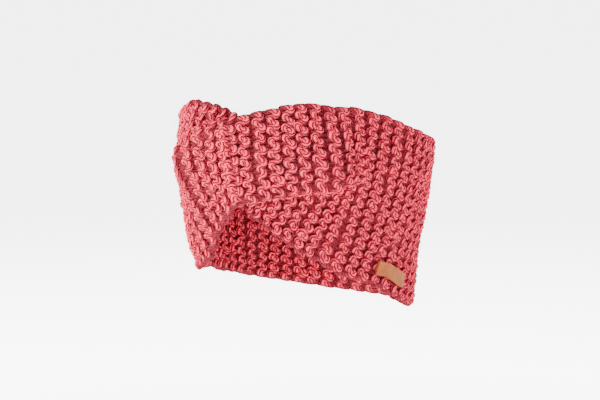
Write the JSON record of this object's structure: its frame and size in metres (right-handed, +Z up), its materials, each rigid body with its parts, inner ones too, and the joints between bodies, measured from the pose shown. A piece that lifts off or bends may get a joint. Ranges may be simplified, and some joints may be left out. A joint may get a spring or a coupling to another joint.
{
  "type": "ear warmer headband",
  "caption": "Wide chunky garter-stitch headband in rose wool with a crossed, pleated front and a small blank leather tag near its lower edge.",
  "frame": {"origin": "middle of the hollow that the head fills, on the head's upright axis at the middle of the band's height", "axes": "+Z up; the wearer faces -Y, where the crossing is; +X is the wearer's left, where the tag is"},
  "size_m": [0.1727, 0.2236, 0.1593],
  "materials": {
    "wool_knit": "chunky plied wool, garter stitch, matt and slightly fuzzy",
    "tag_leather": "smooth tan vegetable-tanned leather with pale cut edges"
  },
  "bodies": {
    "root": {"band": "wool_knit", "leather_tag": "tag_leather"}
  },
  "joints": []
}
